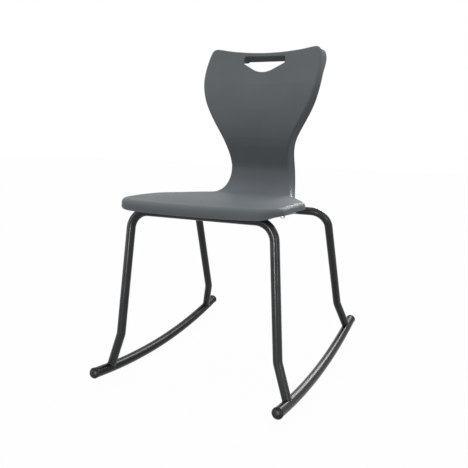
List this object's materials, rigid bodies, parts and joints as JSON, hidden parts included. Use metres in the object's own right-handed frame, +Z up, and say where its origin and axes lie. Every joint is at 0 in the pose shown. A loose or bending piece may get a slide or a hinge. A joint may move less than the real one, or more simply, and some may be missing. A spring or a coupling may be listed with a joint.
{
  "type": "rocking chair",
  "caption": "Rocking chair with a moulded plastic seat shell, waisted at the back with a hand hole, on a bent steel tube frame with curved rocker tubes.",
  "frame": {"origin": "on the floor, under the middle of the rockers' footprint", "axes": "+X to the sitter's left, -Y to the front, +Z up"},
  "size_m": [0.502, 0.6709, 0.8421],
  "materials": {
    "shell_plastic": "mid grey moulded polypropylene, fine satin grain",
    "leg_paint": "black powder coat, semi-gloss",
    "cap_plastic": "black moulded polyethylene, smooth",
    "screw_steel": "bright zinc plate"
  },
  "bodies": {
    "root": {"seat_shell": "shell_plastic", "front_leg_hoop": "leg_paint", "rear_leg_hoop": "leg_paint", "left_rocker": "leg_paint", "right_rocker": "leg_paint", "left_seat_rail": "leg_paint", "right_seat_rail": "leg_paint", "front_left_cap": "cap_plastic", "rear_left_cap": "cap_plastic", "front_right_cap": "cap_plastic", "rear_right_cap": "cap_plastic", "seat_screws": "screw_steel", "seat_washers": "screw_steel"}
  },
  "joints": []
}
